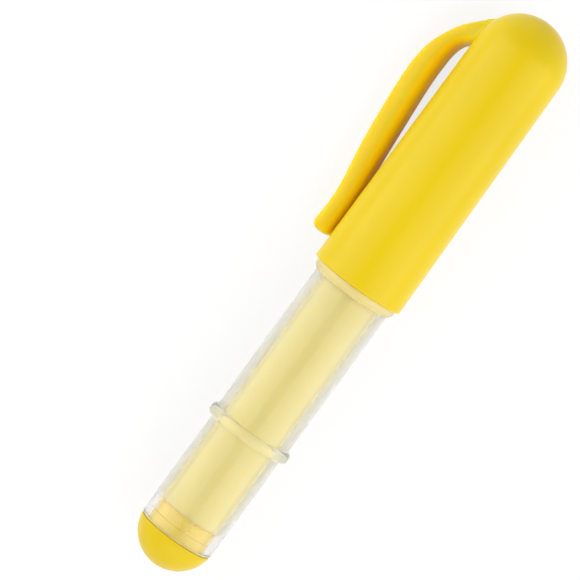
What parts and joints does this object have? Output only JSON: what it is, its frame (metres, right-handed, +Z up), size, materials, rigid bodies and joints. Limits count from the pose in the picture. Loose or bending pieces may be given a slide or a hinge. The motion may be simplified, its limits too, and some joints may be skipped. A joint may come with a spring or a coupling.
{
  "type": "chalk wheel marker",
  "caption": "Pen-style chalk marker with a toothed dosing wheel at the nib, a clear powder barrel, a pull-out tail plug and a domed cap with a pocket clip.",
  "frame": {"origin": "on the table under the middle of the marker's bounding box, as it lies on its cap rim and clip", "axes": "+X along the marker towards the cap's dome, +Y to the side where the clip is, +Z up; the wheel's axle lies along Y"},
  "size_m": [0.116, 0.0235, 0.0177],
  "materials": {
    "cap_plastic": "satin",
    "plug_plastic": "satin",
    "clear_plastic": "satin",
    "chalk": "matte",
    "nib_plastic": "satin",
    "steel": "satin"
  },
  "bodies": {
    "barrel": {"barrel": "clear_plastic", "chalk_powder": "chalk", "nib_cone": "nib_plastic", "wheel_holder": "nib_plastic", "wheel_axle": "steel"},
    "cap": {"cap_shell": "cap_plastic"},
    "clip": {"pocket_clip": "cap_plastic"},
    "plug": {"end_plug": "plug_plastic"},
    "wheel": {"dosing_wheel": "steel"}
  },
  "joints": [
    {"name": "cap_slide", "type": "slide", "parent": "barrel", "child": "cap", "axis": [1, 0, 0], "range_m": [0, 0.045]},
    {"name": "clip_flex", "type": "hinge", "parent": "cap", "child": "clip", "pos_m": [0.05033, 0.00488, 0.00515], "axis": [0, -0.4299, -0.9029], "range_deg": [0, 3], "stiffness_Nm_per_rad": 1.5},
    {"name": "plug_pull", "type": "slide", "parent": "barrel", "child": "plug", "axis": [-1, 0, 0], "range_m": [0, 0.02]},
    {"name": "wheel_spin", "type": "hinge", "parent": "barrel", "child": "wheel", "pos_m": [0.02258, -0.00289, 0.00885], "axis": [0, 1, 0], "continuous": true}
  ]
}
